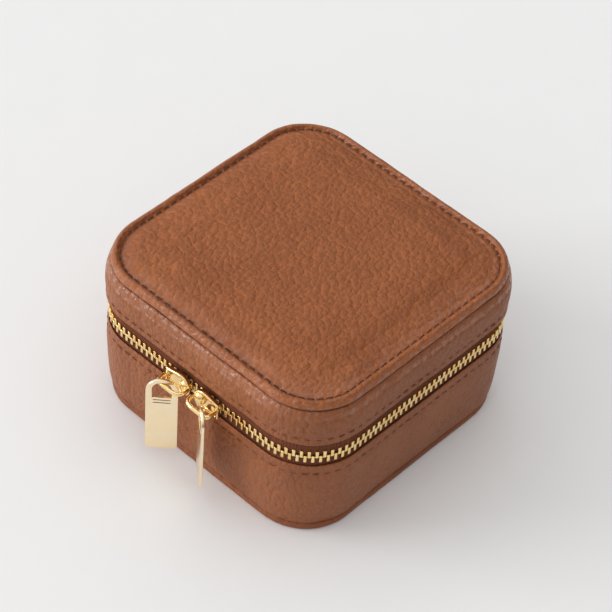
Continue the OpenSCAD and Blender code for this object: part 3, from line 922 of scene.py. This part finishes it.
def slider(side, middle_x, turn):
    """Slider casting with a raised rim round a sunken pocket, and its arched bail. turn is -1 for nose left."""
    body = f"slider_{side}"
    low, high = (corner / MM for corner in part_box(f"slider_{side}_body"))
    length = high.x - low.x
    front, back = low.y, high.y
    plate_back = -(CHAIN + 1.55)
    shape = slider_outline(length, 2.95, 3.95, 3.95)

    def loop(outline_points, y):
        return [(middle_x + turn * x, y, ZIP_Z + z) for x, z in outline_points]

    outer = loft("outer", [
        loop(inset(shape, 0.15), plate_back), loop(shape, plate_back - 0.15), loop(shape, front + 0.3),
        loop(inset(shape, 0.09), front + 0.09), loop(inset(shape, 0.3), front), loop(inset(shape, 0.65), front),
        loop(inset(shape, 0.85), front + 0.1), loop(inset(shape, 0.95), front + 0.35),
        loop(inset(shape, 1.05), front + 0.8), loop(inset(shape, 1.3), front + 0.95),
    ])
    inner = loft("inner", [
        loop(inset(shape, 0.5), back), loop(inset(shape, 0.2), back - 0.2), loop(inset(shape, 0.2), back - 0.65),
        loop(inset(shape, 0.35), back - 0.8),
    ])
    dome_x, dome_r = length / 2 - 2.35, 2.15
    rings = []
    for angle in np.linspace(0, math.pi / 2 - 0.08, 9):
        radius = dome_r * math.cos(angle)
        rings.append([(middle_x + turn * (dome_x + radius * math.cos(a)), front + 0.9 - 1.75 * math.sin(angle),
                       ZIP_Z + 1.15 * radius * math.sin(a)) for a in np.linspace(0, 2 * math.pi, 28, endpoint=False)])
    dome = loft("dome", rings)
    web = copies("web", prism([(0.7, -0.12), (length / 2 - 1.2, -0.12), (length / 2 - 1.2, 0.12), (0.7, 0.12)],
                              plate_back - 0.3, back - 0.3, 0.05),
                 [((middle_x, 0, ZIP_Z), (turn, 0, 0), (0, 1, 0), (0, 0, 1))])
    casting = join(outer, inner, dome, web)
    casting.name = f"slider_{side}_casting"
    finish_piece(casting, body, SLIDER_METAL, [f"slider_{side}_body"])

    bar_low, bar_high = (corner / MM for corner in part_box(f"slider_{side}_bridge"))
    bar_z = (bar_low.z + bar_high.z) / 2
    bar_y = bar_low.y + (bar_high.z - bar_low.z) / 2
    reach = length / 2
    path = smooth_line([
        (reach - 1.0, front + 0.8), (reach - 0.5, front - 0.5), (reach - 0.45, bar_y + 2.1),
        (reach - 1.3, bar_y + 0.7), (reach - 3.0, bar_y + 0.05), (0, bar_y - 0.05), (-reach + 2.1, bar_y),
        (-reach + 0.8, bar_y + 0.45), (-reach + 0.35, bar_y + 1.8), (-reach + 0.5, front - 0.4),
        (-reach + 1.1, front + 0.8),
    ], 60)
    tangents = np.gradient(path, axis=0)
    tangents /= np.linalg.norm(tangents, axis=1, keepdims=True)
    rings = []
    for (x, y), (tx, ty) in zip(path, tangents):
        rings.append([(middle_x + turn * (x - ty * 0.65 * math.cos(a)), y + tx * 0.65 * math.cos(a),
                       bar_z + 0.78 * math.copysign(abs(math.sin(a)) ** 0.85, math.sin(a)))
                      for a in np.linspace(0, 2 * math.pi, 20, endpoint=False)])
    bail = loft(f"slider_{side}_bail", rings)
    return finish_piece(bail, body, SLIDER_METAL, [f"slider_{side}_bridge"])


def pull_tab(side):
    """Flat polished tab with an arched top, a window for the bail and two engraved lines."""
    node = f"pull_tab_{side}"
    pivot = Vector(JOINTS[f"{side}_tab_swing"]["pos_m"]) / MM
    turn = math.radians({"left": 41, "right": -39}[side])
    low, high = (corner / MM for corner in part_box(node))
    top, bottom = high.z - pivot.z, low.z - pivot.z
    width, thick = 10.0, 0.95
    rim, hole_r, hole_h = 1.3, 3.0, 6.7
    ease = 0.22
    half = width / 2 - ease
    edge = [(half * math.cos(a), top - width / 2 + half * math.sin(a)) for a in np.linspace(0, math.pi, 40)]
    corner = 1.1
    bowed = [(x, bottom + ease - 0.12 * (1 - (x / half) ** 2)) for x in np.linspace(-half + corner, half - corner, 9)]
    edge += [(-half + corner + corner * math.cos(a), bottom + ease + corner + corner * math.sin(a))
             for a in np.linspace(math.pi, 1.5 * math.pi, 8)]
    edge += bowed[1:-1]
    edge += [(half - corner + corner * math.cos(a), bottom + ease + corner + corner * math.sin(a))
             for a in np.linspace(1.5 * math.pi, 2 * math.pi, 8)]
    grown = hole_r + ease
    hole_top = top - rim
    hole = [(grown * math.cos(a), hole_top - hole_r + grown * math.sin(a)) for a in np.linspace(0, math.pi, 30)]
    hole += [(-grown, hole_top - hole_h - ease), (grown, hole_top - hole_h - ease)]
    curve = bpy.data.curves.new("tab", "CURVE")
    curve.dimensions, curve.fill_mode = "2D", "BOTH"
    curve.extrude, curve.bevel_depth, curve.bevel_resolution = (thick / 2 - ease) * MM, ease * MM, 3
    for ring in (edge, hole):
        spline = curve.splines.new("POLY")
        spline.points.add(len(ring) - 1)
        spline.use_cyclic_u = True
        for point, (x, z) in zip(spline.points, ring):
            point.co = (x * MM, z * MM, 0, 1)
    drawn = bpy.data.objects.new("tab_curve", curve)
    bpy.context.scene.collection.objects.link(drawn)
    bpy.context.view_layer.update()
    mesh = bpy.data.meshes.new_from_object(drawn.evaluated_get(bpy.context.evaluated_depsgraph_get()))
    bpy.data.objects.remove(drawn)
    mesh.transform(Matrix.Rotation(math.pi / 2, 4, "X"))
    obj = bpy.data.objects.new(f"{node}_plate", mesh)
    bpy.context.scene.collection.objects.link(obj)
    weld = bmesh.new()
    weld.from_mesh(mesh)
    bmesh.ops.remove_doubles(weld, verts=weld.verts, dist=0.001 * MM)
    bmesh.ops.recalc_face_normals(weld, faces=weld.faces)
    weld.to_mesh(mesh)
    weld.free()
    lines = [hole_top - hole_h - drop - 0.15 for drop in (0.7, 1.9)]
    for z in lines:
        cutter = add_mesh("cutter", *prism([(-2.7, z - 0.18), (2.7, z - 0.18), (2.7, z + 0.18), (-2.7, z + 0.18)],
                                           -thick / 2 - 0.4, -thick / 2 + 0.3, 0.05, 1))
        cut = obj.modifiers.new("line", "BOOLEAN")
        cut.object, cut.operation, cut.solver = cutter, "DIFFERENCE", "EXACT"
        apply_modifiers(obj)
        bpy.data.objects.remove(cutter)
    finish_piece(obj, f"tab_{side}", PULL_METAL, [node])
    obj.data.materials.append(ENGRAVED)
    for polygon in obj.data.polygons:
        polygon.use_smooth = True
        x, y, z = polygon.center / MM
        sunk = abs(x) < 2.75 and -thick / 2 + 0.02 < y < 0 and min(abs(z - line) for line in lines) < 0.2
        polygon.material_index = 1 if sunk else 0
    obj.data.transform(Matrix.Translation(pivot * MM) @ Matrix.Rotation(turn, 4, "Z"))
    obj.data.set_sharp_from_angle(angle=math.radians(35))
    return obj


# ---- Stage ----
def camera():
    azimuth, elevation, roll = math.radians(40.53), math.radians(46.09), 0.08
    distance, focus = 0.8114, Vector((-0.00701, 0.0078, 0.025))
    back = Vector((math.sin(azimuth) * math.cos(elevation), -math.cos(azimuth) * math.cos(elevation),
                   math.sin(elevation)))
    right = Vector((math.cos(azimuth), math.sin(azimuth), 0))
    up = back.cross(right)
    x_axis = right * math.cos(roll) + up * math.sin(roll)
    y_axis = up * math.cos(roll) - right * math.sin(roll)
    data = bpy.data.cameras.new("camera")
    data.sensor_width, data.lens = 36, 150.87
    data.clip_start, data.clip_end = 0.05, 20
    obj = bpy.data.objects.new("camera", data)
    bpy.context.scene.collection.objects.link(obj)
    turned = Matrix((x_axis, y_axis, back)).transposed().to_4x4()
    obj.matrix_world = Matrix.Translation(focus + back * distance) @ turned
    bpy.context.scene.camera = obj
    return right


def area_light(name, place, size, power, colour=(1, 1, 1)):
    data = bpy.data.lights.new(name, "AREA")
    data.shape, data.size, data.size_y = "RECTANGLE", size[0], size[1]
    data.energy, data.color = power, colour
    obj = bpy.data.objects.new(name, data)
    obj.location = place
    obj.rotation_euler = (-Vector(place)).to_track_quat("-Z", "Y").to_euler()
    bpy.context.scene.collection.objects.link(obj)
    return obj


def stage(right):
    floor = add_mesh("floor", [(-3000, -3000, 0), (3000, -3000, 0), (3000, 3000, 0), (-3000, 3000, 0)],
                     [(0, 1, 2, 3)])
    n = Nodes("floor_paper")
    cloud, _ = n.noise(n.stretched((1, 1, 1)), 60, 3)
    tint = n.blend(cloud, (0.86, 0.86, 0.86, 1), (0.88, 0.88, 0.88, 1))
    floor.data.materials.append(n.finish(Base_Color=tint, Roughness=0.9, Specular_IOR_Level=0.1))
    world = bpy.data.worlds.new("studio")
    world.use_nodes = True
    left = -right
    tree = world.node_tree
    way = tree.nodes.new("ShaderNodeTexCoord").outputs["Generated"]
    lean = tree.nodes.new("ShaderNodeVectorMath")
    lean.operation = "DOT_PRODUCT"
    lean.inputs[1].default_value = tuple(left * 0.37 + Vector((0, 0, 0.93)))
    tree.links.new(way, lean.inputs[0])
    sky = tree.nodes.new("ShaderNodeValToRGB")
    sky.color_ramp.elements[0].position, sky.color_ramp.elements[0].color = 0.3, (0.1, 0.092, 0.085, 1)
    sky.color_ramp.elements[1].position, sky.color_ramp.elements[1].color = 0.84, (1.0, 1.0, 1.0, 1)
    sky.color_ramp.elements.new(0.57).color = (0.24, 0.23, 0.22, 1)
    share = tree.nodes.new("ShaderNodeMapRange")
    share.inputs[1].default_value, share.inputs[2].default_value = -1.0, 1.0
    tree.links.new(lean.outputs["Value"], share.inputs[0])
    tree.links.new(share.outputs[0], sky.inputs[0])
    tree.links.new(sky.outputs[0], tree.nodes["Background"].inputs["Color"])
    tree.nodes["Background"].inputs["Strength"].default_value = 1.04
    bpy.context.scene.world = world
    area_light("window", (-3.4, -2.9, 1.2), (2.6, 1.7), 120.0)
    view = bpy.context.scene.view_settings
    view.view_transform, view.look = "Standard", "None"


stage(camera())
lid_cover()
lid_wall()
base_wall()
bottom_cover()
hinge_strip()
seams()
zip_row("base_zip_row", -1, 0.0, "base", "base_zip_teeth")
zip_row("lid_zip_row", 1, 0.5, "lid", "lid_zip_teeth")
tape("base_tape", -1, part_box("base_zip_tape")[0].z / MM + 0.2, "base", "base_zip_tape")
tape("lid_tape", 1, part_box("lid_zip_tape")[1].z / MM - 0.2, "lid", "lid_zip_tape")
inside()
slider("left", (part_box("slider_left_body")[0].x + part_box("slider_left_body")[1].x) / 2 / MM, 1)
slider("right", (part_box("slider_right_body")[0].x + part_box("slider_right_body")[1].x) / 2 / MM, -1)
pull_tab("left")
pull_tab("right")

CAD_MATERIALS = {
    "base_zip_stops": ZIP_METAL, "lid_zip_stops": ZIP_METAL, "base_core_shell": BOARD, "lid_core_shell": BOARD,
    "ring_roll_board": BOARD, "base_padding": FOAM, "lid_wall_padding": FOAM, "mirror": MIRROR,
}
for node, material in CAD_MATERIALS.items():
    data = frame["nodes"][node].data
    data.materials.clear()
    data.materials.append(material)
